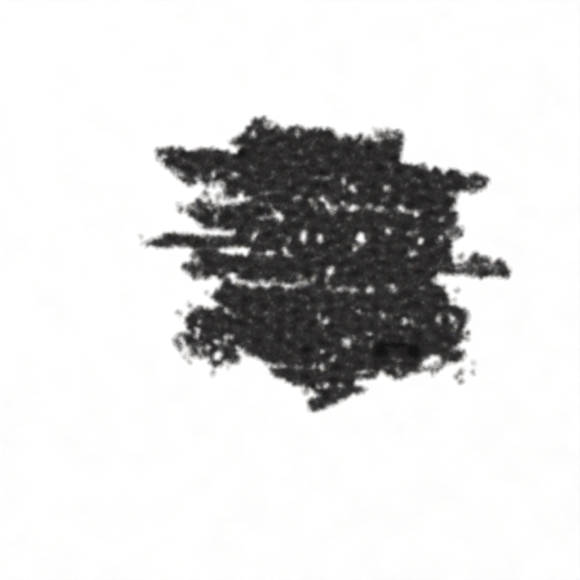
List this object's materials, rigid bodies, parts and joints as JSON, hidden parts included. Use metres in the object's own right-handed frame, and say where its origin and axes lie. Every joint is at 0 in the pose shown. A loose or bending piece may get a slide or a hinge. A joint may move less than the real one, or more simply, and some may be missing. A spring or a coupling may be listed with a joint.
{
  "type": "crayon scribble",
  "caption": "Square sheet of toothed white drawing paper with a scribbled patch of black wax crayon on it, laid in ragged, nearly level passes.",
  "frame": {"origin": "middle of the sheet's underside", "axes": "+X along the passes to the viewer's right, +Y up the sheet, +Z out of the paper towards the wax"},
  "size_m": [0.06, 0.06, 0.0009],
  "materials": {
    "paper": "white drawing paper with a medium tooth, uncoated",
    "wax": "black crayon wax, rubbed into the paper, with a soft low sheen",
    "thin_wax": "black crayon wax, lightly rubbed so that the paper shows through"
  },
  "bodies": {
    "root": {"paper_sheet": "paper", "pass_01_top": "wax", "pass_02_shoulder": "wax", "pass_03_long_upper": "wax", "pass_04_upper": "wax", "pass_05_frayed": "wax", "pass_06_thin_flick": "wax", "pass_07_long_middle": "wax", "pass_08_middle": "wax", "pass_09_looped": "wax", "pass_10_lower": "wax", "pass_11_bottom": "wax", "pass_12_last": "wax", "lower_left_loops": "wax", "start_knob": "wax", "tail_stroke": "wax", "corner_curl": "wax", "top_right_dab": "thin_wax", "right_edge_dab": "thin_wax", "left_curl": "thin_wax", "corner_fray": "thin_wax", "crumbs_left": "wax", "crumbs_right": "wax"}
  },
  "joints": []
}
